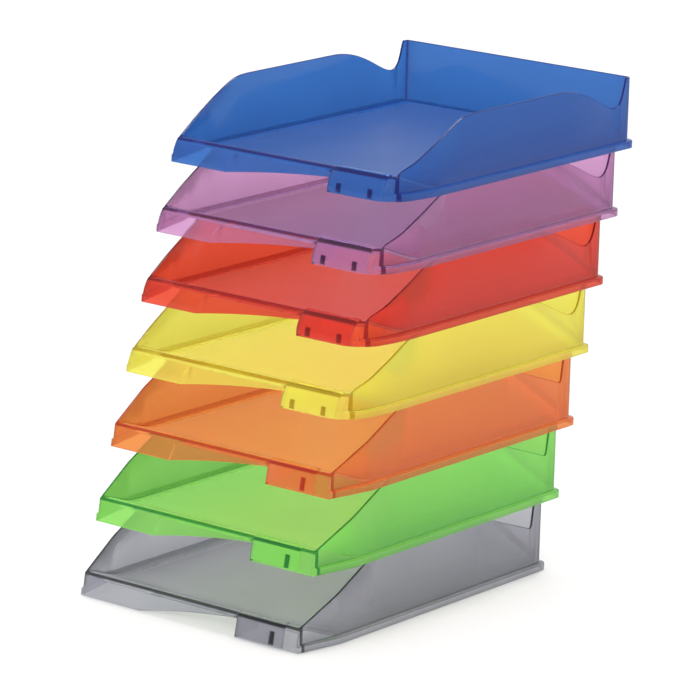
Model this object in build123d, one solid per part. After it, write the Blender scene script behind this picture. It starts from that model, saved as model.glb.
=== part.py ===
from build123d import *

import os
from dataclasses import dataclass

# Stack of seven letter trays, +Z up, millimetres.
# X is the width, Y runs from the open front (low) to the back wall (high).
# Each tray is drawn with its front at Y = 0 and its foot at Z = 0, then set in the stack.
# The origin of the stack is on the surface it stands on, under the middle of its outline.

# ---- driving dimensions shared by every tray --------------------------------
TRAY_WIDTH = 255.0  # over the base rim
TRAY_DEPTH = 335.0  # over the base rim, front to back
WALL = 2.2  # moulded wall thickness
LEDGE = 4.5  # how far the base rim stands out from the walls
RIM_HEIGHT = 6.5  # top of the base rim and of the floor
FRONT_INSET = 9.0  # each side draws in this much at the front corners
FRONT_INSET_LENGTH = 46.0  # length over which the sides draw in
REAR_CORNER_RADIUS = 5.0
LIP_HEIGHT = 20.0  # top of the front lip
LIP_BEAD_HEIGHT = 4.4
LIP_BEAD_DEPTH = 3.0
RAMP_LENGTH = 54.0  # from the lip back to where the ramp meets the floor

# ---- finger recess and label panel in the front ------------------------------
RECESS_DEPTH = 29.0  # measured back from the front
RECESS_RISE = 6.0  # how far its lower edge climbs towards the label panel
PANEL_WIDTH = 63.0  # label panel, from the recess to the right front corner

# ---- label holder --------------------------------------------------------------
HOLDER_SHEET = 1.4
HOLDER_MARGIN = 1.2  # from the panel's left end to the holder
HOLDER_FOOT = 1.6  # the plate stops this far above the skirt's lower edge
HOOK_REACH = 5.0  # how far the hook lies back over the lip
HOLDER_CLEARANCE = 0.05  # between the holder and the panel that it clips on
LUG_WIDTH = 5.0
LUG_THICKNESS = 0.9
LUG_INSET = 9.0  # from the holder's ends to its lugs

# ---- stacking --------------------------------------------------------------------
STAGGER = 18.0  # each tray stands this much further back than the one below
SEAT_CLEARANCE = 0.1  # between the wall tops and the floor that rests on them

BIG = 600.0  # reaches past every tray
MARGIN = 1.0  # how far a cut runs past the face it opens


@dataclass(frozen=True)
class Style:
    """One of the two tray patterns in the stack."""

    name: str
    height: float  # full height of the back wall
    front_slant: float  # the front skirt stands this much further forward at its foot
    front_corner_radius: float
    side_bend_radius: float  # where the sides start to draw in
    crease: float  # length of the flat front part left of the recess
    slope_end: float  # where the rising front edge of the side walls ends
    slope_drop: float  # how far below full height that edge ends
    crown_start: float  # where the side walls reach full height
    crown_to_back: float  # where they leave it, towards the notch, from the back of the rim
    notch_to_back: float  # lowest point of the notch, from the back of the rim
    notch_height: float
    wing_to_back: float  # front of the full-height wing, from the back of the rim
    curved: bool  # curved outline, not straight flanks with rounded corners
    holder_gap: float  # from the right front corner to the label holder
    lug_height: float
    lug_count: int


ROUNDED = Style(
    name="rounded",
    height=62.0,
    front_slant=9.0,
    front_corner_radius=12.0,
    side_bend_radius=180.0,
    crease=56.0,
    slope_end=72.0,
    slope_drop=8.5,
    crown_start=110.0,
    crown_to_back=113.0,
    notch_to_back=28.0,
    notch_height=37.5,
    wing_to_back=11.5,
    curved=True,
    holder_gap=6.0,
    lug_height=9.0,
    lug_count=2,
)
ANGULAR = Style(
    name="angular",
    height=66.0,
    front_slant=4.0,
    front_corner_radius=0.6,
    side_bend_radius=8.0,
    crease=60.0,
    slope_end=93.0,
    slope_drop=0.0,
    crown_start=93.0,
    crown_to_back=97.0,
    notch_to_back=20.5,
    notch_height=39.5,
    wing_to_back=16.5,
    curved=False,
    holder_gap=12.0,
    lug_height=13.0,
    lug_count=1,
)

# From the bottom of the stack to the top.
STACK = [
    ("grey", ANGULAR),
    ("green", ANGULAR),
    ("orange", ANGULAR),
    ("yellow", ROUNDED),
    ("red", ROUNDED),
    ("violet", ROUNDED),
    ("blue", ROUNDED),
]

FLOOR_UNDERSIDE = RIM_HEIGHT - WALL
BACK_FACE = TRAY_DEPTH - LEDGE  # outer face of the back wall


def plan_face(style, inset, front=0.0):
    """Outline seen from above, drawn in by inset on both sides and at the back."""
    half = TRAY_WIDTH / 2 - inset
    corner = half - FRONT_INSET * (1 - front / FRONT_INSET_LENGTH)
    back = TRAY_DEPTH - inset
    points = [
        (-corner, front),
        (-half, FRONT_INSET_LENGTH),
        (-half, back),
        (half, back),
        (half, FRONT_INSET_LENGTH),
        (corner, front),
    ]
    face = make_face(Polyline(*points, close=True))
    rows = face.vertices().group_by(Axis.Y)
    face = fillet(rows[-1], max(REAR_CORNER_RADIUS - inset, MARGIN))
    bends = [v for v in face.vertices() if abs(v.Y - FRONT_INSET_LENGTH) < 0.01]
    face = fillet(bends, style.side_bend_radius)
    corners = [v for v in face.vertices() if abs(v.Y - front) < 0.01]
    return fillet(corners, style.front_corner_radius)


def prism(face, low, high):
    """A plan face carried up from low to high."""
    return extrude(Plane.XY.offset(low) * face, high - low)


def side_prism(*edges):
    """A closed outline in (Y, Z) carried across the whole width."""
    face = make_face(Wire(edges))
    return extrude(Plane.YZ * face, BIG / 2, both=True)


def side_polygon(*points):
    """A polygon in (Y, Z) carried across the whole width."""
    return side_prism(*Polyline(*points, close=True).edges())


def wall_top(style):
    """Upper edge of the side walls from the lip to the back wall, in (Y, Z)."""
    top = style.height
    lip = (style.front_slant, LIP_HEIGHT)
    slope = (style.slope_end, top - style.slope_drop)
    crown = (TRAY_DEPTH - style.crown_to_back, top)
    notch = (TRAY_DEPTH - style.notch_to_back, style.notch_height)
    wing = (TRAY_DEPTH - style.wing_to_back, top)
    back = (BACK_FACE, top)
    if not style.curved:
        path = FilletPolyline(lip, slope, crown, notch, wing, back, radius=[12.0, 14.0, 3.0, 1.5])
        return path.edges()
    rise = Line(lip, slope)
    crest = Spline(slope, (style.crown_start, top), tangents=[rise % 1, (1, 0)])
    flat = Line((style.crown_start, top), crown)
    drop = top - style.notch_height
    run = notch[0] - crown[0]
    dip = Bezier(
        crown,
        (crown[0] + 0.52 * run, top),
        (notch[0] - 0.36 * run, notch[1] + 0.2 * drop),
        (notch[0] - 0.16 * run, notch[1]),
        notch,
    )
    climb = Bezier(notch, (notch[0] + 12.0, notch[1]), (wing[0] - 4.0, top - 0.45 * drop), wing)
    return [rise, crest, flat, dip, climb, Line(wing, back)]


def behind_front(style, setback):
    """Everything behind the leaning front face, or behind a face set back from it."""
    lean = style.front_slant / LIP_HEIGHT
    low = -MARGIN
    high = LIP_HEIGHT
    return side_polygon(
        (setback + lean * low, low),
        (setback + lean * high, high),
        (setback + lean * high, BIG),
        (BIG, BIG),
        (BIG, low),
    )


def below_ramp(style, drop):
    """Everything below the ramp lowered by drop, without the bead along the lip."""
    ramp = ramp_curve(style, drop)
    start = ramp @ 0
    end = ramp @ 1
    hollow = side_prism(
        ramp,
        Line(end, (end.X, -MARGIN)),
        Line((end.X, -MARGIN), (-MARGIN - WALL, -MARGIN)),
        Line((-MARGIN - WALL, -MARGIN), (-MARGIN - WALL, start.Y)),
        Line((-MARGIN - WALL, start.Y), start),
    )
    bead_low = LIP_HEIGHT - LIP_BEAD_HEIGHT
    bead_back = style.front_slant + LIP_BEAD_DEPTH
    bead = side_polygon((-BIG, bead_low), (bead_back, bead_low), (bead_back, LIP_HEIGHT), (-BIG, LIP_HEIGHT))
    return hollow - bead


def ramp_curve(style, drop):
    """Ramp from the lip down to the floor, lowered by drop, in (Y, Z)."""
    start = style.front_slant
    end = start + RAMP_LENGTH
    top = LIP_HEIGHT - drop
    foot = RIM_HEIGHT - drop
    return Bezier(
        (start, top),
        (start + 0.2 * RAMP_LENGTH, top - 1.0),
        (end - 0.55 * RAMP_LENGTH, foot),
        (end, foot),
    )


def recess_face(style, grow):
    """Finger recess seen from above, its wall moved back and right by grow."""
    left = panel_right(style) - PANEL_WIDTH
    start = -panel_right(style) + style.crease
    depth = RECESS_DEPTH + grow
    outset = grow * 1.35  # widens the mouth so that the wall keeps its thickness at the crease
    first = (start - outset, -MARGIN)
    curve = Spline(
        (start - outset, 0),
        (start + 0.3 * (left - start), 0.72 * depth),
        (left + grow, depth),
        tangents=[(1, 0.85), (1, 0.06)],
    )
    sides = Polyline((left + grow, depth), (left + grow, -MARGIN), first, (start - outset, 0))
    return make_face(Wire(curve.edges() + sides.edges()))


def panel_right(style):
    """Right end of the flat front, where the front corner is."""
    return TRAY_WIDTH / 2 - LEDGE - FRONT_INSET


def recess_trim(style):
    """Wedge that lifts the lower edge of the recess wall towards the label panel."""
    left = panel_right(style) - PANEL_WIDTH
    start = -panel_right(style) + style.crease
    face = make_face(Polyline((start, 0), (left, RECESS_RISE), (left, -MARGIN), (start, -MARGIN), close=True))
    return extrude(Plane.XZ * face, -(RECESS_DEPTH + WALL + MARGIN)) + extrude(Plane.XZ * face, MARGIN)


def make_tray(style):
    """One tray: outer form, less the space inside, the hollow below and the recess."""
    front = behind_front(style, 0.0)
    rim = prism(plan_face(style, 0.0), 0.0, RIM_HEIGHT) & front
    top_edge = wall_top(style)
    silhouette = side_prism(
        *top_edge,
        Line((BACK_FACE, style.height), (BACK_FACE, 0)),
        Line((BACK_FACE, 0), (0, 0)),
        Line((0, 0), (style.front_slant, LIP_HEIGHT)),
    )
    walls = prism(plan_face(style, LEDGE), 0.0, style.height) & silhouette
    ramp = ramp_curve(style, 0.0)
    inner_back = BACK_FACE - WALL
    inside = side_prism(
        ramp,
        Line(ramp @ 1, (inner_back, RIM_HEIGHT)),
        Line((inner_back, RIM_HEIGHT), (inner_back, BIG)),
        Line((inner_back, BIG), (-BIG, BIG)),
        Line((-BIG, BIG), (-BIG, LIP_HEIGHT)),
        Line((-BIG, LIP_HEIGHT), ramp @ 0),
    )
    inside &= prism(plan_face(style, LEDGE + WALL, -2 * WALL), 0.0, BIG)

    skirt_back = behind_front(style, WALL)
    under_ramp = below_ramp(style, WALL)
    recess = prism(recess_face(style, 0.0), -MARGIN, LIP_HEIGHT) & under_ramp
    recess_walled = prism(recess_face(style, WALL), -MARGIN, LIP_HEIGHT)
    front_hollow = prism(plan_face(style, LEDGE + WALL, -2 * WALL), -MARGIN, LIP_HEIGHT) & under_ramp & skirt_back
    foot_hollow = prism(plan_face(style, WALL, -2 * WALL), -MARGIN, FLOOR_UNDERSIDE) & skirt_back
    trim = recess_trim(style) & recess_walled
    tray = rim + walls - inside - (front_hollow - recess_walled) - (foot_hollow - recess_walled)
    return tray - recess - trim


def make_holder(style):
    """Label holder: a leaning plate that hooks over the lip, with lugs at its foot."""
    lean = style.front_slant / LIP_HEIGHT
    inner = -HOLDER_CLEARANCE
    outer = inner - HOLDER_SHEET
    foot = HOLDER_FOOT
    seat = LIP_HEIGHT + HOLDER_CLEARANCE
    top = seat + HOLDER_SHEET
    outline = Polyline(
        (lean * foot + outer, foot),
        (lean * top + outer, top),
        (style.front_slant + HOOK_REACH, top),
        (style.front_slant + HOOK_REACH, seat),
        (lean * seat + inner, seat),
        (lean * foot + inner, foot),
        close=True,
    )
    lug_outline = Polyline(
        (lean * foot + outer - LUG_THICKNESS, foot),
        (lean * (foot + style.lug_height) + outer - LUG_THICKNESS, foot + style.lug_height),
        (lean * (foot + style.lug_height) + outer, foot + style.lug_height),
        (lean * foot + outer, foot),
        close=True,
    )
    left = panel_right(style) - PANEL_WIDTH + HOLDER_MARGIN
    right = panel_right(style) - style.holder_gap
    holder = Pos(left, 0, 0) * extrude(Plane.YZ * make_face(outline), right - left)
    lug_places = [right - LUG_INSET - LUG_WIDTH, left + LUG_INSET]
    for place in lug_places[: style.lug_count]:
        holder += Pos(place, 0, 0) * extrude(Plane.YZ * make_face(lug_outline), LUG_WIDTH)
    return holder


def make_stack():
    """Every piece in its place, as a dictionary of node name and shape."""
    shapes = {style.name: (make_tray(style), make_holder(style)) for style in (ANGULAR, ROUNDED)}
    pieces = {}
    level = 0.0
    for number, (colour, style) in enumerate(STACK):
        place = Pos(0, number * STAGGER, level)
        tray, holder = shapes[style.name]
        pieces[f"{colour}_tray"] = place * tray
        pieces[f"{colour}_label_holder"] = place * holder
        level += style.height + SEAT_CLEARANCE - FLOOR_UNDERSIDE
    return pieces


def main():
    """Centre the stack on its outline and write one file per piece."""
    os.makedirs("parts", exist_ok=True)
    pieces = make_stack()
    boxes = [shape.bounding_box() for shape in pieces.values()]
    front = min(box.min.Y for box in boxes)
    back = max(box.max.Y for box in boxes)
    centre = Pos(0, -(front + back) / 2, 0)
    for name, shape in pieces.items():
        export_step(centre * shape, f"parts/{name}.step")


main()
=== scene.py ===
import logging
import math
from dataclasses import dataclass
from enum import Enum

import bmesh
import bpy
import numpy as np
from mathutils import Matrix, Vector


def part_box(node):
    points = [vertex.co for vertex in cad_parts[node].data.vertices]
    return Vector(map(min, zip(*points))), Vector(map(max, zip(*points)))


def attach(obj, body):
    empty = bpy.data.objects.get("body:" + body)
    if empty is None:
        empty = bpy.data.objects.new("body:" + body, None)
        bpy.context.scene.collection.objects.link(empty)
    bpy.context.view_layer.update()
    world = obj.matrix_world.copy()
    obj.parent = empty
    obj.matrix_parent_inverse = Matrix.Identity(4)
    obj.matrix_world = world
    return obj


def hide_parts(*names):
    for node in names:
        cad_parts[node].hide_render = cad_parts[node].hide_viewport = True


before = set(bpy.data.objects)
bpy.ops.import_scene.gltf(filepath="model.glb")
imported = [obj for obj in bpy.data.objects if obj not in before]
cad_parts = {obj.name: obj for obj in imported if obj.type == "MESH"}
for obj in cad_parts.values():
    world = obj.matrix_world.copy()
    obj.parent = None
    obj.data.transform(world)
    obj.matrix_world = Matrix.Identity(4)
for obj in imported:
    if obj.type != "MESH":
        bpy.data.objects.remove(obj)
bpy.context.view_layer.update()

# A stack of seven letter trays in tinted, see-through plastic, with a label holder clipped on each.
# Sizes inside the classes are millimetres, in a tray's own axes: X across from its middle line, Y back
# from the foot of its front, Z up from the surface it stands on. MM turns them into the frame's metres.

MM = 0.001
WELD = 2e-6  # metres between vertices that are one
SMOOTH_ANGLE = math.radians(34.0)  # edges that turn less are shaded smooth
LOG = logging.getLogger("letter_trays")
Array = np.ndarray
Skin = tuple[Array, Array, dict[str, Array]]  # vertices in millimetres, faces, and marks of each vertex


# ---- curves ------------------------------------------------------


def bezier(points: list[tuple[float, float]], count: int) -> Array:
    """Samples one cubic Bezier curve: the sum of its four points, weighted with the Bernstein polynomials.

    Args:
        points: the four control points.
        count: how many samples to take.

    Returns:
        The samples, one row each.
    """
    t = np.linspace(0.0, 1.0, count)[:, None]
    p0, p1, p2, p3 = (np.array(p, float) for p in points)
    return (1 - t) ** 3 * p0 + 3 * (1 - t) ** 2 * t * p1 + 3 * (1 - t) * t**2 * p2 + t**3 * p3


def rounded_path(points: list[tuple[float, float]], radii: list[float], count: int = 7) -> Array:
    """A polyline whose inner corners are arcs.

    Each arc starts and ends radius times tan(half the turn) from its corner, and its samples turn evenly
    about the centre, which lies on the corner's bisector.

    Args:
        points: the corners, with both ends.
        radii: one radius for each inner corner.
        count: samples on each arc.

    Returns:
        The samples, one row each.
    """
    corners = np.array(points, float)
    samples = [corners[:1]]
    for before, corner, after, radius in zip(corners[:-2], corners[1:-1], corners[2:], radii):
        way_in = (corner - before) / np.linalg.norm(corner - before)
        way_out = (after - corner) / np.linalg.norm(after - corner)
        cross = way_in[0] * way_out[1] - way_in[1] * way_out[0]
        turn = math.atan2(cross, float(way_in @ way_out))
        start = corner - way_in * radius * math.tan(abs(turn) / 2)
        normal = np.array([-way_in[1], way_in[0]]) * np.sign(turn)
        angles = np.linspace(0.0, turn, count)
        spokes = np.stack([-normal[0] * np.cos(angles) + normal[1] * np.sin(angles),
                           -normal[1] * np.cos(angles) - normal[0] * np.sin(angles)], axis=1)
        samples.append(start + normal * radius + spokes * radius)
    samples.append(corners[-1:])
    return np.concatenate(samples)


def square_to_round(a: Array, b: Array) -> tuple[Array, Array]:
    """Bends the corner of a unit square into a quarter circle.

    A point keeps its direction from the inner corner, and its distance becomes the larger of its two
    coordinates, so that nested squares become nested circles an equal way apart.

    Args:
        a: first coordinate, positive inside the corner.
        b: second coordinate.

    Returns:
        Both coordinates, changed only where they are both positive.
    """
    inside = (a > 0) & (b > 0)
    reach = np.where(inside, np.hypot(a, b), 1.0)
    share = np.where(inside, np.maximum(a, b) / reach, 1.0)
    return a * share, b * share


# ---- meshes ------------------------------------------------------


def lattice(rows: int, columns: int, first: int, flip: bool) -> Array:
    """Quads of a grid of vertices numbered row by row.

    Args:
        rows: rows of vertices.
        columns: vertices in each row.
        first: number of the grid's first vertex.
        flip: whether the faces turn the other way.

    Returns:
        Four vertex numbers for each face.
    """
    index = first + np.arange(rows * columns).reshape(rows, columns)
    quads = np.stack([index[:-1, :-1], index[:-1, 1:], index[1:, 1:], index[1:, :-1]], axis=-1).reshape(-1, 4)
    return quads[:, ::-1] if flip else quads


def seam(one: Array, other: Array) -> Array:
    """Quads between two lines of as many vertices.

    Args:
        one: vertex numbers along the first line.
        other: vertex numbers along the second line.

    Returns:
        Four vertex numbers for each face.
    """
    return np.stack([one[:-1], one[1:], other[1:], other[:-1]], axis=1)


def closed_sheet(upper: Array, lower: Array) -> tuple[Array, Array]:
    """Joins an upper and a lower grid of the same size along their borders into one closed skin.

    Args:
        upper: vertices of the upper side, rows by columns by three.
        lower: vertices of the lower side.

    Returns:
        All vertices, and all faces.
    """
    rows, columns = upper.shape[:2]
    top = np.arange(rows * columns).reshape(rows, columns)
    low = top + rows * columns
    faces = [
        lattice(rows, columns, 0, False),
        lattice(rows, columns, rows * columns, True),
        seam(top[0], low[0])[:, ::-1],
        seam(top[-1], low[-1]),
        seam(top[:, 0], low[:, 0]),
        seam(top[:, -1], low[:, -1])[:, ::-1],
    ]
    return np.concatenate([upper.reshape(-1, 3), lower.reshape(-1, 3)]), np.concatenate(faces)


def skin_object(name: str, vertices: Array, faces: Array,
                marks: dict[str, Array] | None = None) -> bpy.types.Object:
    """Makes a clean mesh object: doubles merged, empty faces dropped, faces outwards, soft edges smooth.

    Args:
        name: the object's name.
        vertices: places in metres.
        faces: vertex numbers, four or three for each face.
        marks: for each attribute that the finishes read, its value at each vertex.

    Returns:
        The object, linked to the scene.
    """
    mesh = bpy.data.meshes.new(name)
    mesh.from_pydata(vertices.tolist(), [], faces.tolist())
    for label, values in (marks or {}).items():
        mesh.attributes.new(label, "FLOAT", "POINT").data.foreach_set("value", values.astype(np.float32))
    work = bmesh.new()
    work.from_mesh(mesh)
    bmesh.ops.remove_doubles(work, verts=work.verts, dist=WELD)
    bmesh.ops.dissolve_degenerate(work, dist=WELD, edges=work.edges)
    bmesh.ops.recalc_face_normals(work, faces=work.faces)
    if work.calc_volume(signed=True) < 0:
        bmesh.ops.reverse_faces(work, faces=work.faces)
    open_edges = sum(1 for edge in work.edges if len(edge.link_faces) != 2)
    work.to_mesh(mesh)
    work.free()
    mesh.shade_smooth()
    mesh.set_sharp_from_angle(angle=SMOOTH_ANGLE)
    obj = bpy.data.objects.new(name, mesh)
    bpy.context.scene.collection.objects.link(obj)
    LOG.info("%s: %d faces, %d edges without two faces", name, len(mesh.polygons), open_edges)
    return obj


# ---- the tray ----------------------------------------------------


class Outline(Enum):
    """The two tray patterns in the stack."""

    ROUNDED = "curved side walls and a bowl-shaped notch"
    ANGULAR = "straight side walls and a pointed notch"


@dataclass(frozen=True)
class TrayShape:
    """Sizes of one tray pattern, in millimetres."""

    outline: Outline
    width: float
    depth: float
    height: float
    slant: float  # the front face leans back this much from its foot to the lip
    belly: float  # 1 for a straight front face, more for one that curves back towards the lip
    corner_right: float  # plan radius of the right front corner
    corner_left: float
    bend: float  # half the length over which the sides turn in
    crease: float  # length of the flat front part left of the finger recess
    slope_end: float  # where the rise from the lip ends
    slope_drop: float  # how far below the wall's top it ends
    crown_to_back: float  # from the end of the level top to the back
    notch_to_back: float
    notch_height: float
    wing_to_back: float
    crown_start: float = 0.0  # start of the level top in the rounded pattern
    wall: float = 2.2
    ledge: float = 4.5
    corner_ledge: float = 2.0  # what is left of the ledge at the front corners
    rim: float = 6.5
    inset: float = 9.0  # each side draws in this much at the front
    inset_length: float = 46.0
    corner_rear: float = 9.0
    lip: float = 20.0
    bead: float = 4.4  # height of the bead along the lip
    bead_depth: float = 3.0
    ramp: float = 54.0
    ramp_power: float = 0.86  # below 1, the ramp falls sooner behind the lip
    recess_depth: float = 29.0
    recess_power: float = 2.6  # how steeply the finger recess starts
    recess_rise: float = 6.0
    panel: float = 63.0

    @property
    def panel_right(self) -> float:
        """Right end of the flat front."""
        return self.width / 2 - self.ledge - self.inset

    @property
    def panel_left(self) -> float:
        """Left end of the label panel, where the finger recess ends."""
        return self.panel_right - self.panel

    @property
    def recess_left(self) -> float:
        """Left end of the finger recess."""
        return self.crease - self.panel_right

    @property
    def floor_low(self) -> float:
        """Underside of the floor."""
        return self.rim - self.wall

    def half_width(self, y: Array) -> Array:
        """Half the width over the rim at a distance from the front.

        It is full behind the bend and falls along a straight line in front of it; the bend itself is
        the parabola that meets both.

        Args:
            y: distances from the front.

        Returns:
            Half widths.
        """
        slope = self.inset / self.inset_length
        start = self.inset_length - self.bend
        past = np.clip(y - start, 0.0, 2 * self.bend)
        straight = self.width / 2 - self.inset + slope * np.minimum(y, start)
        return straight + slope * (past - past**2 / (4 * self.bend))

    def stood_out(self, distance: Array, y: Array, low: float, high: float) -> Array:
        """Distances in from the rim, with the wall stood further out towards the front corners.

        The ledge narrows evenly from the bend to the corner. Distances up to low stay, those past high
        lose the whole of what the ledge loses there, and those between lose a linear share of it.

        Args:
            distance: distances in from the rim's outer face, where the ledge is full.
            y: distances from the front.
            low: where the shift starts.
            high: where it is full.

        Returns:
            The changed distances.
        """
        taper = np.clip(1 - y / self.inset_length, 0.0, 1.0)
        share = np.clip((distance - low) / (high - low), 0.0, 1.0)
        return distance - (self.ledge - self.corner_ledge) * taper * share

    def wall_line(self) -> Array:
        """Upper edge of the side walls.

        The angular pattern is a polyline with arcs. The rounded one is a straight rise, a Bezier curve
        up to the level crown, one down to the notch and one up to the wing at the back wall.

        Returns:
            Places from front to back, and heights, one row each.
        """
        top = self.height
        lip = (self.slant, self.lip)
        slope = (self.slope_end, top - self.slope_drop)
        crown = (self.depth - self.crown_to_back, top)
        notch = (self.depth - self.notch_to_back, self.notch_height)
        wing = (self.depth - self.wing_to_back, top)
        back = (self.depth, top)
        if self.outline is Outline.ANGULAR:
            return rounded_path([lip, slope, crown, notch, wing, back], [12.0, 14.0, 3.0, 1.5])
        rise = (slope[1] - lip[1]) / (slope[0] - lip[0])
        crest = bezier([slope, (slope[0] + 14, slope[1] + 14 * rise), (self.crown_start - 18, top),
                        (self.crown_start, top)], 10)
        run = notch[0] - crown[0]
        drop = top - notch[1]
        dip = bezier([crown, (crown[0] + 0.52 * run, top),
                      (notch[0] - 0.2 * run, notch[1] + 0.02 * drop), notch], 22)
        climb = bezier([notch, (notch[0] + 12, notch[1]), (wing[0] - 4, top - 0.35 * drop), wing], 16)
        return np.concatenate([np.array([lip]), crest, dip, climb[1:], np.array([back])])

    def recess_line(self, x: Array) -> Array:
        """How far back the finger recess reaches at a place across the front.

        It rises steeply from its left end and levels off towards the label panel, along a power curve
        1 - (1 - t)^power of the share t of its width.

        Args:
            x: places across the front.

        Returns:
            Depths, zero outside the recess.
        """
        share = np.clip((x - self.recess_left) / (self.panel_left - self.recess_left), 0.0, 1.0)
        inside = (x > self.recess_left) & (x <= self.panel_left)
        return np.where(inside, self.recess_depth * (1 - (1 - share) ** self.recess_power), 0.0)

    def front_face(self, z: Array) -> Array:
        """How far the front face has leaned back at a height: slant times (z / lip) to the power belly."""
        return self.slant * np.clip(z / self.lip, 0.0, 1.0) ** self.belly

    def ramp_height(self, y: Array) -> Array:
        """Height of the ramp behind the lip: half a cosine wave from the lip down to the floor."""
        share = np.clip((y - self.slant) / self.ramp, 0.0, 1.0)
        return self.rim + (self.lip - self.rim) * (0.5 + 0.5 * np.cos(math.pi * share**self.ramp_power))

    def bend_corners(self, x: Array, y: Array, z: Array) -> tuple[Array, Array]:
        """Rounds the plan corners, front right, front left and both at the back.

        Args:
            x: places across.
            y: places from front to back, the lean of the front face included.
            z: heights, which say how far the front face has leaned back there.

        Returns:
            The changed x and y.
        """
        lean = self.front_face(z)
        for side, front in ((1.0, self.corner_right), (-1.0, self.corner_left)):
            half = self.half_width(y)
            a, b = square_to_round(1 + (side * x - half) / front, 1 - (y - lean) / front)
            at_corner = (side * x > half - front) & (y - lean < front)
            x = np.where(at_corner, side * (half + (a - 1) * front), x)
            y = np.where(at_corner, (1 - b) * front + lean, y)
            rear = self.corner_rear
            half = self.width / 2
            a, b = square_to_round(1 + (side * x - half) / rear, 1 + (y - self.depth) / rear)
            at_corner = (side * x > half - rear) & (y > self.depth - rear)
            x = np.where(at_corner, side * (half + (a - 1) * rear), x)
            y = np.where(at_corner, self.depth + (b - 1) * rear, y)
        return x, y


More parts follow.
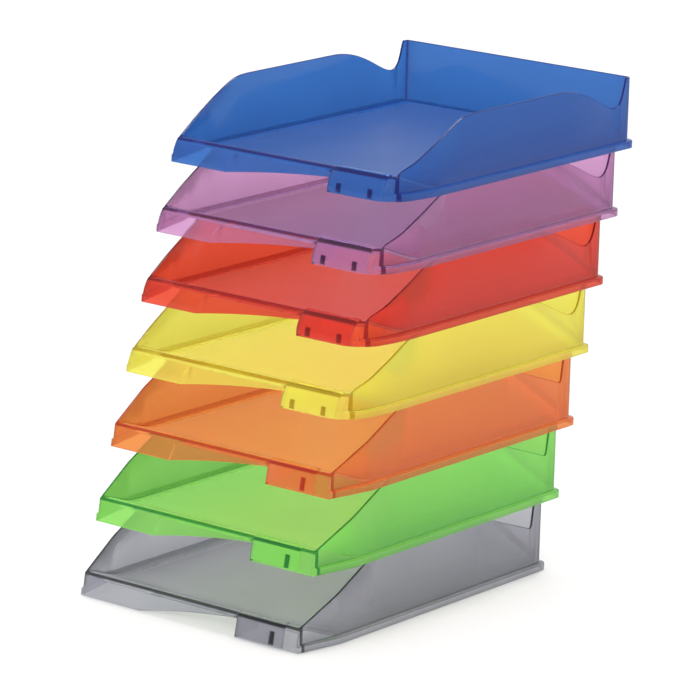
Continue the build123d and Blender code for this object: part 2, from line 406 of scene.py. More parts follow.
@dataclass
class TrayBody:
    """The moulded tray: one closed skin made of an upper and a lower grid of the same size.

    Columns run from front to back: some follow each side's rim and wall, the rest cross the floor. Rows
    run across: front face, ramp, floor, rear. A point's height is the least of what its column's outer
    profile, its row's outer profile and the larger of the two inner profiles allow.
    """

    shape: TrayShape
    ramp_rows: int = 16
    floor_rows: int = 18
    flat_columns: int = 9
    recess_columns: int = 23
    panel_columns: int = 19
    column_margin: float = 6.0  # from the outermost of those to the ends of the flat front
    crowding: float = 1.5  # above 1, the recess columns crowd towards its steep end
    lip_round: float = 1.0
    crown_round: float = 0.9  # rounding of the wall tops
    # painted shade: these darken the tint on the front face, along the lip, at the foot, at the panel's side
    # wall and on the underside
    face_tone: float = 0.25  # share of a side's painted edge shade that its columns keep on the front face
    lip_tone: float = 0.9
    foot_tone: float = 0.5
    panel_side_tone: float = 0.75
    under_tone: float = 0.1

    def side_profile(self) -> Array:
        """Upper profile from the foot of the rim, over the ledge and the wall, down to the floor.

        Returns:
            One row each: distance in from the rim's outer face, then the outer and the inner profile,
            each as a level and a share of the wall height that is added, and the painted edge shade.
        """
        s = self.shape
        out, inner, r = s.ledge, s.ledge + s.wall, self.crown_round
        none = np.inf
        return np.array([
            (0.25, 0.0, 0, none, 0, 0.5),
            (0.0, 0.25, 0, none, 0, 0.5),
            (0.0, s.rim - 1.0, 0, none, 0, 0.3),
            (0.3, s.rim - 0.3, 0, none, 0, 0.6),
            (1.0, s.rim, 0, none, 0, 0.4),
            (out - 0.6, s.rim, 0, none, 0, 0.5),
            (out - 0.15, s.rim + 0.15, 0, none, 0, 0.9),
            (out, s.rim + 0.6, 0, none, 0, 0.5),
            (out, -r, 1, none, 0, 0.1),
            (out + 0.28 * r, -0.3 * r, 1, none, 0, 0.8),
            (out + r, 0.0, 1, none, 0, 1.0),
            (inner - r, 0.0, 1, none, 0, 1.0),
            (inner - 0.28 * r, none, 0, -0.3 * r, 1, 0.8),
            (inner, none, 0, -r, 1, 0.1),
            (inner, none, 0, 1.2, 2, 0.3),
            (inner + 0.35, none, 0, 0.35, 2, 0.8),
            (inner + 1.2, none, 0, 0.0, 2, 0.3),
        ])

    def under_profile(self) -> Array:
        """Lower profile of a side: foot, skirt, underside of the ledge, then up under the ramp.

        Returns:
            One row each, as many as in the upper profile: distance in, and the level that it allows.
        """
        s = self.shape
        w, low, deep = s.wall, s.floor_low, s.ledge + s.wall
        none = np.inf
        return np.array([
            (0.6, 0.0), (w - 0.4, 0.0), (w - 0.1, 0.1), (w, 0.4), (w, low - 0.4), (w + 0.12, low - 0.12),
            (w + 0.4, low), (w + 1.2, low), (w + 2.0, low), (w + 3.0, low), (w + 4.0, low), (deep, low),
            (deep, none), (deep + 0.3, none), (deep + 0.6, none), (deep + 0.9, none), (deep + 1.2, none),
        ])

    def columns(self) -> tuple[Array, Array]:
        """Places of the columns between the two sides.

        Returns:
            The places, ascending, and which wall each stands at: 0 none, 1 to 4 the four columns at the
            panel's left side wall.
        """
        s = self.shape
        reach = s.panel_right - self.column_margin
        flat = np.linspace(-reach, s.recess_left, self.flat_columns)
        share = np.linspace(0.0, 1.0, self.recess_columns + 2)[1:-1] ** self.crowding
        recess = s.recess_left + share * (s.panel_left - s.recess_left)
        corner = [s.panel_left, s.panel_left, s.panel_left + s.wall, s.panel_left + s.wall]
        panel = np.linspace(s.panel_left + s.wall, reach, self.panel_columns + 1)[1:]
        places = np.concatenate([flat, recess, corner, panel])
        marks = np.concatenate([np.zeros(len(flat) + len(recess)), [1, 2, 3, 4], np.zeros(len(panel))])
        return places, marks

    def stations(self) -> Array:
        """Rows across the floor: evenly spread, and wherever the upper edge of the side walls has a point.

        Returns:
            Their places, from front to back.
        """
        s = self.shape
        line = s.wall_line()[:, 0]
        start, end = s.slant + s.ramp + 2.0, s.depth - s.corner_rear - 1.0
        spread = np.linspace(start, end, self.floor_rows)
        both = np.unique(np.round(np.concatenate([spread, line[(line > start) & (line < end)]]), 2))
        return both[np.concatenate([[True], np.diff(both) > 0.05])]

    def face_low(self, recess: Array) -> Array:
        """Lower edge of the front face where the finger recess cuts it, at most the bead's underside.

        Args:
            recess: how far back the recess reaches in each column.

        Returns:
            Heights.
        """
        s = self.shape
        cut = s.lip * np.clip(recess / s.slant, 0.0, 1.0) ** (1 / s.belly)
        return np.minimum(cut, s.lip - s.bead)

    def upper(self, x_in: Array, marks: Array, recess: Array, stations: Array) -> tuple[Array, Array]:
        """The upper grid.

        Args:
            x_in: places of the inner columns.
            marks: which wall each stands at.
            recess: depth of the finger recess at each of them.
            stations: rows across the floor.

        Returns:
            The grid's vertices, and the painted edge shade of each.
        """
        s = self.shape
        side = self.side_profile()
        n_side, n_in = len(side), len(x_in)
        low = np.concatenate([np.zeros(n_side), self.face_low(recess), np.zeros(n_side)])
        bead_low = s.lip - s.bead
        r = self.lip_round
        rise = np.array([0.0, 0.05, 0.25, 0.5, 0.75, 1.0])[:, None]
        lower_face = low + (bead_low - low) * rise
        upper_face = np.array([0.35, 0.7, 0.92])[:, None] * s.bead + bead_low + 0 * low
        face = np.concatenate([lower_face, upper_face])
        crest_y = np.array([0.15 * r, 0.7 * r, 1.6 * r, 2.4 * r])[:, None] + s.slant
        crest_z = np.array([s.lip - 0.15 * r, s.lip, s.lip, s.lip - 0.2 * r])[:, None] + 0 * low
        ramp_y = np.linspace(s.slant + 3.2 * r, s.slant + s.ramp, self.ramp_rows)[:, None]
        rear = side[::-1]
        rear_y = (s.depth - rear[:, 0])[:, None]
        y = np.concatenate([s.front_face(face), crest_y + 0 * low, ramp_y + 0 * low,
                            stations[:, None] + 0 * low, rear_y + 0 * low])
        ground = s.ramp_height(y)
        wall_line = s.wall_line()
        wall = np.interp(y, wall_line[:, 0], wall_line[:, 1])
        outer_row = np.full(y.shape, np.inf)
        inner_row = ground.copy()
        n_face, n_crest = len(face), len(crest_z)
        outer_row[:n_face] = face
        outer_row[n_face:n_face + n_crest - 1] = crest_z[:-1]
        inner_row[:n_face + n_crest - 1] = np.inf
        inner_row[n_face + n_crest - 1] = crest_z[-1]
        n_rear = len(rear)
        outer_row[-n_rear:] = (rear[:, 1] + s.height * (rear[:, 2] == 1))[:, None]
        inner_row[-n_rear:] = (rear[:, 3] + s.height * (rear[:, 4] == 1) + s.rim * (rear[:, 4] == 2))[:, None]

        half = s.half_width(y)
        distance = np.concatenate([side[:, 0], np.zeros(n_in), side[::-1, 0]])
        sign = np.concatenate([-np.ones(n_side), np.zeros(n_in), np.ones(n_side)])
        middle = np.concatenate([np.zeros(n_side), x_in, np.zeros(n_side)])
        x = sign * (half - s.stood_out(distance, y, 1.0, s.ledge - 0.6)) + middle
        pad = np.zeros((n_in, side.shape[1]))
        pad[:, 1] = np.inf
        pad[:, 4] = 2
        profile = np.concatenate([side, pad, side[::-1]])
        outer = profile[:, 1] + wall * (profile[:, 2] == 1)
        inner = profile[:, 3] + wall * (profile[:, 4] == 1) + ground * (profile[:, 4] == 2)
        z = np.minimum(np.minimum(outer, outer_row), np.maximum(inner, inner_row))
        z = np.maximum(z, 0.0)
        # painted shade: darker along edges, wall tops, creases, the lip, the foot and the panel's side wall
        tone = self.painted_edge_shade(profile[:, 5], rear[:, 5], z, n_face, n_crest)
        tone[:n_face, n_side:-n_side][:, marks > 0] = self.panel_side_tone
        x, y = s.bend_corners(x, y, z)
        return np.stack([x, y, z], axis=-1), tone

    def painted_edge_shade(self, across: Array, rear: Array, z: Array, n_face: int, n_crest: int) -> Array:
        """How much of an edge each vertex is, from 0 on a broad face to 1 on a narrow one: painted shade that
        darkens the tint there.

        Args:
            across: tone of each column of the side profile.
            rear: tone of each row at the back.
            z: heights of the vertices.
            n_face: rows on the front face.
            n_crest: rows over the lip.

        Returns:
            The tones.
        """
        tone = np.tile(across, (len(z), 1))
        tone[:n_face] *= self.face_tone
        rear_rows, lip_rows = slice(-len(rear), None), slice(n_face - 2, n_face + n_crest)
        tone[rear_rows] = np.maximum(tone[rear_rows] * (z[rear_rows] > self.shape.rim), rear[:, None])
        tone[lip_rows] = np.maximum(tone[lip_rows], self.lip_tone)
        tone[0] = np.maximum(tone[0], self.foot_tone)
        return tone

    def lower(self, x_in: Array, marks: Array, recess: Array, stations: Array, rows: int) -> Array:
        """The lower grid: foot, finger recess, hollow under the ramp, underside of the floor, rear.

        In each column the rows go from the lower edge of the front face, under the bead and the ramp to
        the recess wall, down its front, across its foot, up its back and along the hollow behind it.
        Outside the recess the wall is the front skirt itself, and the rows in front of it coincide.

        Args:
            x_in: places of the inner columns.
            marks: which wall each stands at.
            recess: depth of the finger recess at each.
            stations: rows across the floor.
            rows: how many rows there are to be in front of the floor.

        Returns:
            The grid's vertices.
        """
        s = self.shape
        under = self.under_profile()
        n_side, n_in = len(under), len(x_in)
        zeros = np.zeros(n_side)
        depth = np.concatenate([zeros, recess, zeros])
        mark = np.concatenate([zeros, marks, zeros])
        middle = np.concatenate([zeros, x_in, zeros])
        wall = np.where((mark == 2) | (mark == 3), s.recess_depth + s.wall, s.wall)
        bead_low, bead_back = s.lip - s.bead, s.slant + s.bead_depth
        low = self.face_low(depth)
        share = np.clip((middle - s.recess_left) / (s.panel_left - s.recess_left), 0.0, 1.0)
        foot = np.where(depth > 0, np.minimum(s.recess_rise * share, low), 0.0)

        def ceiling(y: Array) -> Array:
            """Height of the hollow behind the skirt: its leaning back, the bead, then under the ramp."""
            lean = s.lip * np.clip((y - s.wall) / s.slant, 0.0, 1.0) ** (1 / s.belly)
            return np.where(y < bead_back, np.minimum(lean, bead_low), s.ramp_height(y) - s.wall)

        start = s.front_face(low)
        bead_end = np.maximum(start, np.minimum(depth, bead_back))
        past_bead = depth > bead_back
        run = bead_end + (np.maximum(depth, bead_end) - bead_end) * np.linspace(0.0, 1.0, 7)[:, None]
        run_z = np.where(past_bead, s.ramp_height(run) - s.wall, low)
        edge = np.where(depth > 0, np.maximum(depth, start), 0.0)
        y_front = np.concatenate([[start, bead_end], run, [edge, edge + wall]])
        z_front = np.concatenate([[low, low], run_z, [foot, foot]])
        side_wall = mark == 2
        y_front[1:-1, side_wall] = y_front[1:-1, mark == 1]
        z_front[1:-1, side_wall] = 0.0
        y_front[-1, side_wall] = s.recess_depth + s.wall

        lean_z = np.linspace(0.3, bead_low, 5)
        ramp_y = np.linspace(bead_back, s.slant + s.ramp, rows - len(y_front) - len(lean_z) - 1)
        at = np.concatenate([s.front_face(lean_z) + s.wall, [bead_back], ramp_y])[:, None]
        level = np.concatenate([lean_z, [bead_low], s.ramp_height(ramp_y) - s.wall])[:, None]
        y_hollow = np.maximum(np.where(side_wall, s.recess_depth + s.wall, edge + wall), at)
        z_hollow = np.where(y_hollow > at, ceiling(y_hollow), level)
        across = np.ones(len(depth))
        y = np.concatenate([y_front, y_hollow, stations[:, None] * across,
                            (s.depth - under[::-1, :1]) * across])
        z = np.concatenate([z_front, z_hollow, np.full((len(stations), len(depth)), s.floor_low),
                            np.minimum(under[::-1, 1:], s.floor_low) * across])
        distance = np.concatenate([under[:, 0], np.zeros(n_in), under[::-1, 0]])
        sign = np.concatenate([-np.ones(n_side), np.zeros(n_in), np.ones(n_side)])
        x = sign * (s.half_width(y) - s.stood_out(distance, y, s.wall + 0.4, s.ledge + s.wall)) + middle
        limit = np.concatenate([under[:, 1], np.full(n_in, np.inf), under[::-1, 1]])
        z = np.minimum(z, limit)
        x, y = s.bend_corners(x, y, z)
        return np.stack([x, y, z], axis=-1)

    def skin(self) -> Skin:
        """The whole tray: its edges and creases marked for painted shade, its paper side for the matt texture
        and a painted shade.

        Returns:
            The skin.
        """
        s = self.shape
        x_in, marks = self.columns()
        recess = np.where(marks >= 2, 0.0, s.recess_line(x_in))
        stations = self.stations()
        upper, tone = self.upper(x_in, marks, recess, stations)
        front_rows = upper.shape[0] - len(stations) - len(self.side_profile())
        lower = self.lower(x_in, marks, recess, stations, front_rows)
        upper[0] = lower[0]
        vertices, faces = closed_sheet(upper, lower)
        # painted shade: a faint darkening over the whole underside
        low_tone = np.full(lower.shape[:2], self.under_tone)
        matt = np.zeros(upper.shape[:2])
        n_side = len(self.side_profile())
        matt[front_rows - self.ramp_rows:-n_side, n_side:-n_side] = 1.0
        marks = {"painted_edge_shade": np.concatenate([tone.ravel(), low_tone.ravel()]),
                 "matt_and_shaded_side": np.concatenate([matt.ravel(), 0 * low_tone.ravel()])}
        return vertices, faces, marks


# ---- the label holder --------------------------------------------


@dataclass
class LabelHolder:
    """The clip in front of the label panel: a bent sheet that hooks over the lip, with lugs at its foot."""

    shape: TrayShape
    gap_right: float  # from the tray's front corner to the holder
    lug_height: float
    lug_places: tuple[float, ...]  # from the holder's left end to the left side of each lug
    sheet: float = 1.4
    clearance: float = 0.05
    hook: float = 5.0
    foot: float = 1.6
    margin: float = 1.2
    lug_width: float = 5.0
    lug_depth: float = 0.9
    eased: tuple[float, float] = (0.45, 0.85)  # shares of the thickness at the ends' last two points
    hook_tone: float = 0.8  # painted shade of the band under the hook
    back_tone: float = 0.6  # share of the painted shade that the side towards the panel takes

    @property
    def left(self) -> float:
        """Left end, just inside the label panel's."""
        return self.shape.panel_left + self.margin

    @property
    def right(self) -> float:
        """Right end."""
        return self.shape.panel_right - self.gap_right

    def bend(self) -> tuple[Array, Array]:
        """The sheet's inner side in (Y, Z), from the end of the hook over the lip down to the foot.

        Returns:
            The inner side's points, and the outward direction at each.
        """
        s = self.shape
        over = s.lip + self.clearance
        turn = bezier([(s.slant + 1.2, over), (s.slant + 0.2, over),
                       (float(s.front_face(np.array(s.lip - 0.8))) + 0.1, s.lip - 0.6),
                       (float(s.front_face(np.array(s.lip - 1.4))) - self.clearance, s.lip - 1.4)], 8)
        hook_y = np.array([self.hook, self.hook - 0.2, self.hook - 0.6, 2.6]) + s.slant
        hook = np.stack([hook_y, np.full(4, over)], axis=1)
        near_lug = self.lug_height + np.array([0.9, 0.3, -0.1, -0.5])
        levels = np.concatenate([np.linspace(s.lip - 2.4, self.lug_height + 1.8, 6), near_lug,
                                 np.linspace(self.lug_height - 1.4, self.foot + 0.7, 6),
                                 [self.foot + 0.25, self.foot]])
        levels = np.sort(levels)[::-1]
        down = np.stack([s.front_face(levels) - self.clearance, levels], axis=1)
        path = np.concatenate([hook, turn, down])
        along = np.gradient(path, axis=0)
        along /= np.linalg.norm(along, axis=1, keepdims=True)
        return path, np.stack([along[:, 1], -along[:, 0]], axis=1)

    def skin(self) -> Skin:
        """The whole holder: the bent path carried across, with the outer side a sheet's thickness away.

        Returns:
            The skin.
        """
        path, outward = self.bend()
        steps = [self.left, self.left + 0.3, self.left + 0.8]
        bump = [0.0, 0.0, 0.0]
        for place in self.lug_places:
            start, end = self.left + place, self.left + place + self.lug_width
            steps += [start - 0.8, start, start + 0.2, start + 0.6, (start + end) / 2,
                      end - 0.6, end - 0.2, end, end + 0.8]
            bump += [0.0, 0.0, 0.8, 1.0, 1.0, 1.0, 0.8, 0.0, 0.0]
        steps += [self.right - 0.8, self.right - 0.3, self.right]
        bump += [0.0, 0.0, 0.0]
        x = np.array(steps)
        order = np.argsort(x, kind="stable")
        x, lug = x[order], np.array(bump)[order]
        thin = np.ones(len(path))
        side_thin = np.ones(len(x))
        for ends in (thin, side_thin):
            ends[:2], ends[-2:] = self.eased, self.eased[::-1]
        thickness = self.sheet * np.minimum(thin[:, None], side_thin[None, :])
        rise = np.clip((self.lug_height - path[:, 1]) / 0.5, 0.0, 1.0) * (path[:, 1] < self.lug_height)
        thickness = thickness + self.lug_depth * rise[:, None] * lug[None, :] * thin[:, None]
        spread = np.zeros_like(thickness)
        inner = np.stack([spread + x, spread + path[:, :1], spread + path[:, 1:]], axis=-1)
        shift = np.stack([spread, thickness * outward[:, :1], thickness * outward[:, 1:]], axis=-1)
        vertices, faces = closed_sheet(inner + shift, inner)
        # painted shade: the band under the hook, the lugs and the thinned ends are darkened
        shade_under_hook = ((path[:, 1] < self.shape.lip - 0.4) & (path[:, 1] > self.shape.lip - 2.6)).astype(float)
        marked = np.maximum(rise[:, None] * (lug > 0), self.hook_tone * shade_under_hook[:, None])
        tone = np.maximum(marked, 1.0 - thin[:, None])
        return vertices, faces, {"painted_edge_shade": np.concatenate([tone.ravel(), self.back_tone * tone.ravel()])}


# ---- finishes ----------------------------------------------------


def group(name: str, inputs: dict[str, tuple[str, object]], outputs: dict[str, str]) -> bpy.types.NodeTree:
    """Starts a shader node group with named sockets.

    Args:
        name: the group's name.
        inputs: for each input, its socket type and default.
        outputs: for each output, its socket type.

    Returns:
        The tree, with its input node named "in" and its output node "out".
    """
    tree = bpy.data.node_groups.new(name, "ShaderNodeTree")
    for label, (kind, default) in inputs.items():
        socket = tree.interface.new_socket(name=label, in_out="INPUT", socket_type=kind)
        if default is not None:
            socket.default_value = default
    for label, kind in outputs.items():
        tree.interface.new_socket(name=label, in_out="OUTPUT", socket_type=kind)
    tree.nodes.new("NodeGroupInput").name = "in"
    tree.nodes.new("NodeGroupOutput").name = "out"
    return tree


def node(tree: bpy.types.NodeTree, kind: str, links: dict[str, object] | None = None,
         **settings: object) -> bpy.types.Node:
    """Adds a node, sets its properties and fills its inputs.

    Args:
        tree: where it goes.
        kind: its type.
        links: for each input, by name or number, a value or the socket that feeds it.
        settings: its properties.

    Returns:
        The node.
    """
    made = tree.nodes.new(kind)
    for key, value in settings.items():
        setattr(made, key, value)
    for key, value in (links or {}).items():
        socket = made.inputs[key]
        if isinstance(value, bpy.types.NodeSocket):
            tree.links.new(value, socket)
        else:
            socket.default_value = value
    return made


def mould_grain_group() -> bpy.types.NodeTree:
    """Surface that a mould leaves: slow ripples where the plastic flowed, and a fine grain.

    It is polished everywhere but on the side that carries the paper, which is finely etched.

    Returns:
        The group: Ripple Size, Grain Size, Polished and Etched in; Height, Patches and Roughness out.
    """
    number = "NodeSocketFloat"
    grain_polished, grain_etched, patchiness = 0.02, 0.16, 0.12
    tree = group("mould_grain", {"Ripple Size": (number, 12.0), "Grain Size": (number, 900.0),
                                 "Polished": (number, 0.12), "Etched": (number, 0.42)},
                 {"Height": number, "Patches": number, "Roughness": number})
    source, out = tree.nodes["in"], tree.nodes["out"]
    place = node(tree, "ShaderNodeTexCoord").outputs["Object"]
    ripple = node(tree, "ShaderNodeTexNoise", {"Vector": place, "Scale": source.outputs["Ripple Size"],
                                               "Detail": 2.0, "Roughness": 0.4})
    grain = node(tree, "ShaderNodeTexNoise", {"Vector": place, "Scale": source.outputs["Grain Size"],
                                              "Detail": 1.0})
    etched = node(tree, "ShaderNodeAttribute", attribute_name="matt_and_shaded_side").outputs["Fac"]
    bite = node(tree, "ShaderNodeMath", {0: etched, 1: grain_etched - grain_polished, 2: grain_polished},
                operation="MULTIPLY_ADD").outputs[0]
    mixed = node(tree, "ShaderNodeMath", {0: grain.outputs[0], 1: bite, 2: ripple.outputs[0]},
                 operation="MULTIPLY_ADD")
    smooth = node(tree, "ShaderNodeMix", {"Factor": etched, 2: source.outputs["Polished"],
                                          3: source.outputs["Etched"]}).outputs[0]
    rough = node(tree, "ShaderNodeMath", {0: ripple.outputs[0], 1: patchiness, 2: smooth},
                 operation="MULTIPLY_ADD")
    tree.links.new(mixed.outputs[0], out.inputs["Height"])
    tree.links.new(rough.outputs[0], out.inputs["Roughness"])
    tree.links.new(ripple.outputs[0], out.inputs["Patches"])
    return tree


def tint_and_painted_shade_group() -> bpy.types.NodeTree:
    """Tint of see-through plastic, with painted shade: the body colour on broad walls, darker on the paper
    side, darkest along edges and creases.

    Returns:
        The group: Body, Edge, Floor Depth and Patches in; Colour out.
    """
    number, colour = "NodeSocketFloat", "NodeSocketColor"
    tree = group("tint_and_painted_shade", {"Body": (colour, None), "Edge": (colour, None), "Floor Shade": (number, 0.0),
                                 "Patches": (number, 0.5)}, {"Colour": colour})
    source, out = tree.nodes["in"], tree.nodes["out"]
    # painted shade along edges and creases, read from the mesh
    edge = node(tree, "ShaderNodeAttribute", attribute_name="painted_edge_shade").outputs["Fac"]
    deep = node(tree, "ShaderNodeMapRange", {"Value": edge, "From Min": 0.05, "From Max": 0.95},
                interpolation_type="SMOOTHSTEP").outputs[0]
    flow = node(tree, "ShaderNodeMapRange", {"Value": source.outputs["Patches"], "From Min": 0.3,
                                             "From Max": 0.7, "To Min": 0.0, "To Max": 0.06}).outputs[0]
    etched = node(tree, "ShaderNodeAttribute", attribute_name="matt_and_shaded_side").outputs["Fac"]
    # painted shade: the paper side's colour is pulled towards the edge colour
    base = node(tree, "ShaderNodeMath", {0: etched, 1: source.outputs["Floor Shade"], 2: flow},
                operation="MULTIPLY_ADD").outputs[0]
    share = node(tree, "ShaderNodeMath", {0: deep, 1: base}, operation="ADD", use_clamp=True).outputs[0]
    tint = node(tree, "ShaderNodeMix", {"Factor": share, 6: source.outputs["Body"],
                                        7: source.outputs["Edge"]}, data_type="RGBA")
    tree.links.new(tint.outputs[2], out.inputs["Colour"])
    return tree


def linear(red: int, green: int, blue: int) -> tuple[float, float, float, float]:
    """Turns an ordinary 0 to 255 colour into the linear one that shaders take."""
    channels = [((c / 255 + 0.055) / 1.055) ** 2.4 if c > 10 else c / 255 / 12.92 for c in (red, green, blue)]
    return (*channels, 1.0)


@dataclass(frozen=True)
class TintedPlastic:
    """Glossy see-through polystyrene in one tint, with painted shade along its edges and on its paper side.
    """

    name: str
    body: tuple[int, int, int]
    # colour that the painted shade goes towards along edges, creases and the paper side
    edge: tuple[int, int, int]
    clear: float  # share of the light that goes through instead of scattering
    floor_shade: float = 0.0  # painted shade on the paper side: how far its colour goes towards the edge's
    polished: float = 0.05  # roughness of the walls
    etched: float = 0.36  # roughness of the paper side
    light_passed: float = 0.97  # share of the light on its way to other pieces that one face lets by
    bending: float = 1.38  # index of refraction
    bump: float = 0.12
    bump_depth: float = 0.0006  # metres

    def material(self, groups: dict[str, bpy.types.NodeTree]) -> bpy.types.Material:
        """Builds the material.

        Args:
            groups: the shared node groups, by name.

        Returns:
            The material.
        """
        made = bpy.data.materials.new(f"{self.name}_plastic_with_painted_shade")
        made.use_nodes = True
        tree = made.node_tree
        shader = tree.nodes["Principled BSDF"]
        shader.inputs["IOR"].default_value = self.bending
        shader.inputs["Metallic"].default_value = 0.0
        shader.inputs["Transmission Weight"].default_value = self.clear
        grain = node(tree, "ShaderNodeGroup", node_tree=groups["mould_grain"])
        tint = node(tree, "ShaderNodeGroup", node_tree=groups["tint_and_painted_shade"])
        tint.inputs["Body"].default_value = linear(*self.body)
        tint.inputs["Edge"].default_value = linear(*self.edge)
        tint.inputs["Floor Shade"].default_value = self.floor_shade
        tree.links.new(grain.outputs["Patches"], tint.inputs["Patches"])
        grain.inputs["Polished"].default_value = self.polished
        grain.inputs["Etched"].default_value = self.etched
        bump = node(tree, "ShaderNodeBump", {"Height": grain.outputs["Height"], "Strength": self.bump,
                                             "Distance": self.bump_depth})
        tree.links.new(tint.outputs["Colour"], shader.inputs["Base Color"])
        ray = node(tree, "ShaderNodeLightPath")
        lit = node(tree, "ShaderNodeMath",
                   {0: ray.outputs["Is Shadow Ray"], 1: ray.outputs["Is Diffuse Ray"]}, operation="MAXIMUM")
        kept = node(tree, "ShaderNodeMath", {0: lit.outputs[0], 1: -self.light_passed, 2: 1.0},
                    operation="MULTIPLY_ADD")
        tree.links.new(kept.outputs[0], shader.inputs["Alpha"])
        tree.links.new(grain.outputs["Roughness"], shader.inputs["Roughness"])
        tree.links.new(bump.outputs[0], shader.inputs["Normal"])
        return made


@dataclass(frozen=True)
class PaleFloor:
    """The matt white surface that the stack stands on."""

    radius: float = 60.0
    shade: float = 0.93
    grain: float = 0.004  # how far the shade wanders

    def build(self) -> bpy.types.Object:
        """A disc of ring cells around the origin, with a faint paper-like grain.

        Returns:
            The floor.
        """
        around = np.linspace(0.0, 2 * math.pi, 97)[:, None]
        out = np.array([0.0, 0.6, 1.5, 4.0, 14.0, self.radius])[None, :]
        grid = np.stack([out * np.cos(around), out * np.sin(around), 0 * out * around], axis=-1)
        faces = lattice(grid.shape[0], grid.shape[1], 0, True)
        floor = skin_object("floor", grid.reshape(-1, 3), faces)
        made = bpy.data.materials.new("pale_floor")
        made.use_nodes = True
        tree = made.node_tree
        shader = tree.nodes["Principled BSDF"]
        shader.inputs["Roughness"].default_value = 0.75
        place = node(tree, "ShaderNodeTexCoord").outputs["Object"]
        grain = node(tree, "ShaderNodeTexNoise", {"Vector": place, "Scale": 40.0})
        tone = node(tree, "ShaderNodeMapRange", {"Value": grain.outputs[0], "To Min": self.shade - self.grain,
                                                 "To Max": self.shade + self.grain})
        tree.links.new(tone.outputs[0], shader.inputs["Base Color"])
        floor.data.materials.append(made)
        return floor


# ---- the stack ---------------------------------------------------


@dataclass(frozen=True)
class StackedTray:
    """One tray of the stack with its holder: which pattern and which finish it has."""

    colour: str
    outline: Outline
    finish: TintedPlastic

    @property
    def nodes(self) -> tuple[str, str]:
        """Names of the two pieces in the frame."""
        return f"{self.colour}_tray", f"{self.colour}_label_holder"


# each finish: the body tint, then the darker colour of its painted shade
GREY = TintedPlastic("grey", (208, 208, 217), (44, 46, 50), clear=0.82, floor_shade=0.2, light_passed=0.6)
GREEN = TintedPlastic("green", (165, 238, 122), (26, 135, 48), clear=0.62)
ORANGE = TintedPlastic("orange", (248, 160, 86), (200, 55, 10), clear=0.7)
YELLOW = TintedPlastic("yellow", (252, 246, 112), (185, 158, 12), clear=0.66, floor_shade=0.06)
RED = TintedPlastic("red", (244, 92, 64), (140, 10, 8), clear=0.78, floor_shade=0.22)
VIOLET = TintedPlastic("violet", (221, 166, 211), (70, 22, 80), clear=0.82, floor_shade=0.5)
BLUE = TintedPlastic("blue", (66, 124, 202), (14, 26, 118), clear=0.62, floor_shade=0.34)

STACK = (
    StackedTray("grey", Outline.ANGULAR, GREY),
    StackedTray("green", Outline.ANGULAR, GREEN),
    StackedTray("orange", Outline.ANGULAR, ORANGE),
    StackedTray("yellow", Outline.ROUNDED, YELLOW),
    StackedTray("red", Outline.ROUNDED, RED),
    StackedTray("violet", Outline.ROUNDED, VIOLET),
    StackedTray("blue", Outline.ROUNDED, BLUE),
)


def tray_shape(outline: Outline, tray_node: str) -> TrayShape:
    """Sizes of a pattern, its overall ones taken from the frame.

    Args:
        outline: which pattern.
        tray_node: a tray of that pattern in the frame.

    Returns:
        The sizes.
    """
    low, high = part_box(tray_node)
    width, depth, height = ((high - low) / MM)[:]
    if outline is Outline.ROUNDED:
        return TrayShape(outline, width, depth, height, slant=9.0, belly=2.4, corner_right=22.0,
                         corner_left=2.0, bend=17.0, crease=56.0, slope_end=72.0, slope_drop=8.5,
                         crown_start=110.0, crown_to_back=113.0, notch_to_back=28.0, notch_height=37.5,
                         wing_to_back=11.5)
    return TrayShape(outline, width, depth, height, slant=4.0, belly=1.0, corner_right=0.8, corner_left=0.8,
                     bend=3.0, crease=60.0, slope_end=93.0, slope_drop=0.0, crown_to_back=97.0,
                     notch_to_back=20.5, notch_height=39.5, wing_to_back=16.5)


def label_holder(shape: TrayShape) -> LabelHolder:
    """The holder that goes with a pattern.

    Args:
        shape: the tray's sizes.

    Returns:
        The holder.
    """
    if shape.outline is Outline.ROUNDED:
        return LabelHolder(shape, gap_right=6.0, lug_height=9.0, lug_places=(9.0, 41.8))
    return LabelHolder(shape, gap_right=12.0, lug_height=13.0, lug_places=(35.8,))


def build_piece(name: str, body: str, skin: Skin, place: Array,
                finish: bpy.types.Material, replaced: str) -> bpy.types.Object:
    """Makes one visible piece and ties it to the frame.

    Args:
        name: the piece's name.
        body: the body that it moves with.
        skin: its shape in its own axes, with the marks that its finish reads.
        place: where its own axes stand in the frame, in metres.
        finish: its material.
        replaced: the frame's node that it stands for.

    Returns:
        The piece.
    """
    vertices, faces, marks = skin
    piece = skin_object(name, vertices * MM + place, faces, marks)
    piece.data.materials.append(finish)
    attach(piece, body)
    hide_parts(replaced)
    return piece


def build_stack() -> None:
    """Builds every tray and its holder from the bottom of the stack to the top."""
    groups = {"mould_grain": mould_grain_group(), "tint_and_painted_shade": tint_and_painted_shade_group()}
    skins = {}
    for tray in STACK:
        tray_node, holder_node = tray.nodes
        low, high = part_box(tray_node)
        if tray.outline not in skins:
            shape = tray_shape(tray.outline, tray_node)
            skins[tray.outline] = (TrayBody(shape).skin(), label_holder(shape).skin())
        place = np.array([(low.x + high.x) / 2, low.y, low.z])
        finish = tray.finish.material(groups)
        tray_skin, holder_skin = skins[tray.outline]
        build_piece(f"{tray.colour}_tray_moulding", tray.colour, tray_skin, place, finish, tray_node)
        build_piece(f"{tray.colour}_label_clip", tray.colour, holder_skin, place, finish, holder_node)


# ---- studio ------------------------------------------------------


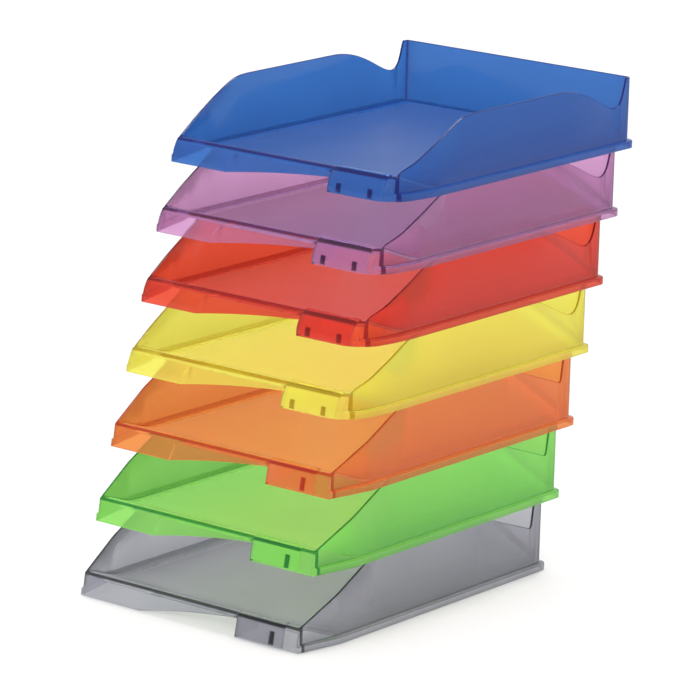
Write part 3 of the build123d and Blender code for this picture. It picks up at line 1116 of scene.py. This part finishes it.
def put_in_studio(name: str, data: bpy.types.ID, right: Array, up: Array, back: Array,
                  place: Array) -> bpy.types.Object:
    """Makes an object that looks along -back from its place, and links it to the scene.

    Args:
        name: the object's name.
        data: its camera or light.
        right: direction of its right side.
        up: direction of its top.
        back: direction behind it.
        place: where it stands.

    Returns:
        The object.
    """
    made = bpy.data.objects.new(name, data)
    matrix = np.eye(4)
    matrix[:3] = np.stack([right, up, back, place], axis=1)
    made.matrix_world = Matrix(matrix.tolist())
    bpy.context.scene.collection.objects.link(made)
    return made


@dataclass(frozen=True)
class StudioCamera:
    """A long lens that looks down at the stack from its right front corner.

    It is placed from the foot of a tray's front: the look direction comes from yaw and pitch, the
    picture is turned by roll, and the camera stands back along that direction and beside it.
    """

    aim_node: str = "yellow_tray"
    yaw: float = math.radians(38.02)
    pitch: float = math.radians(14.26)
    roll: float = math.radians(1.53)
    distance: float = 3.792
    beside: float = 0.0971
    above: float = 0.0385
    focal_share: float = 6.5242857  # focal length over the width of the picture

    def build(self) -> bpy.types.Object:
        """Makes the camera and gives it to the scene.

        Returns:
            The camera.
        """
        ahead = np.array([-math.sin(self.yaw) * math.cos(self.pitch),
                          math.cos(self.yaw) * math.cos(self.pitch), -math.sin(self.pitch)])
        level = np.array([math.cos(self.yaw), math.sin(self.yaw), 0.0])
        upright = np.cross(level, ahead)
        right = math.cos(self.roll) * level + math.sin(self.roll) * upright
        up = math.cos(self.roll) * upright - math.sin(self.roll) * level
        low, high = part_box(self.aim_node)
        aim = np.array([(low.x + high.x) / 2, low.y, low.z])
        eye = aim + self.beside * right + self.above * up - self.distance * ahead
        data = bpy.data.cameras.new("camera")
        data.sensor_width = 36.0
        data.lens = self.focal_share * data.sensor_width
        data.clip_end = 100.0
        camera = put_in_studio("camera", data, right, up, -ahead, eye)
        bpy.context.scene.camera = camera
        return camera


@dataclass(frozen=True)
class StudioLight:
    """A wide, even studio light that reaches the whole floor alike."""

    name: str
    azimuth: float  # degrees from the front, towards the right
    elevation: float
    spread: float  # degrees across, as seen from the stack
    strength: float

    def build(self) -> bpy.types.Object:
        """Makes the light, turned so that it shines down from its azimuth and elevation.

        Returns:
            The light.
        """
        turn, lift = math.radians(self.azimuth), math.radians(self.elevation)
        away = np.array([math.sin(turn) * math.cos(lift), -math.cos(turn) * math.cos(lift), math.sin(lift)])
        across = np.array([math.cos(turn), math.sin(turn), 0.0])
        data = bpy.data.lights.new(self.name, "SUN")
        data.angle = math.radians(self.spread)
        data.energy = self.strength
        return put_in_studio(self.name, data, across, np.cross(away, across), away, away)


def build_studio() -> None:
    """White surroundings, two soft lights, the floor and the camera."""
    world = bpy.data.worlds.new("studio")
    world.use_nodes = True
    background = world.node_tree.nodes["Background"]
    background.inputs["Color"].default_value = (1.0, 1.0, 1.0, 1.0)
    background.inputs["Strength"].default_value = 0.72
    bpy.context.scene.world = world
    bpy.context.scene.view_settings.view_transform = "Standard"
    passes = bpy.context.scene.cycles  # light crosses two faces of every wall in the stack, so it needs many
    passes.max_bounces = passes.transmission_bounces = 18
    passes.transparent_max_bounces = 64
    StudioLight("overhead_light", azimuth=-150.0, elevation=66.0, spread=24.0, strength=1.35).build()
    StudioLight("front_light", azimuth=10.0, elevation=40.0, spread=50.0, strength=0.35).build()
    PaleFloor().build()
    StudioCamera().build()


def main() -> None:
    """Builds the stack and the studio."""
    logging.basicConfig(level=logging.INFO, format="%(name)s: %(message)s")
    build_stack()
    build_studio()


if __name__ == "__main__":
    main()
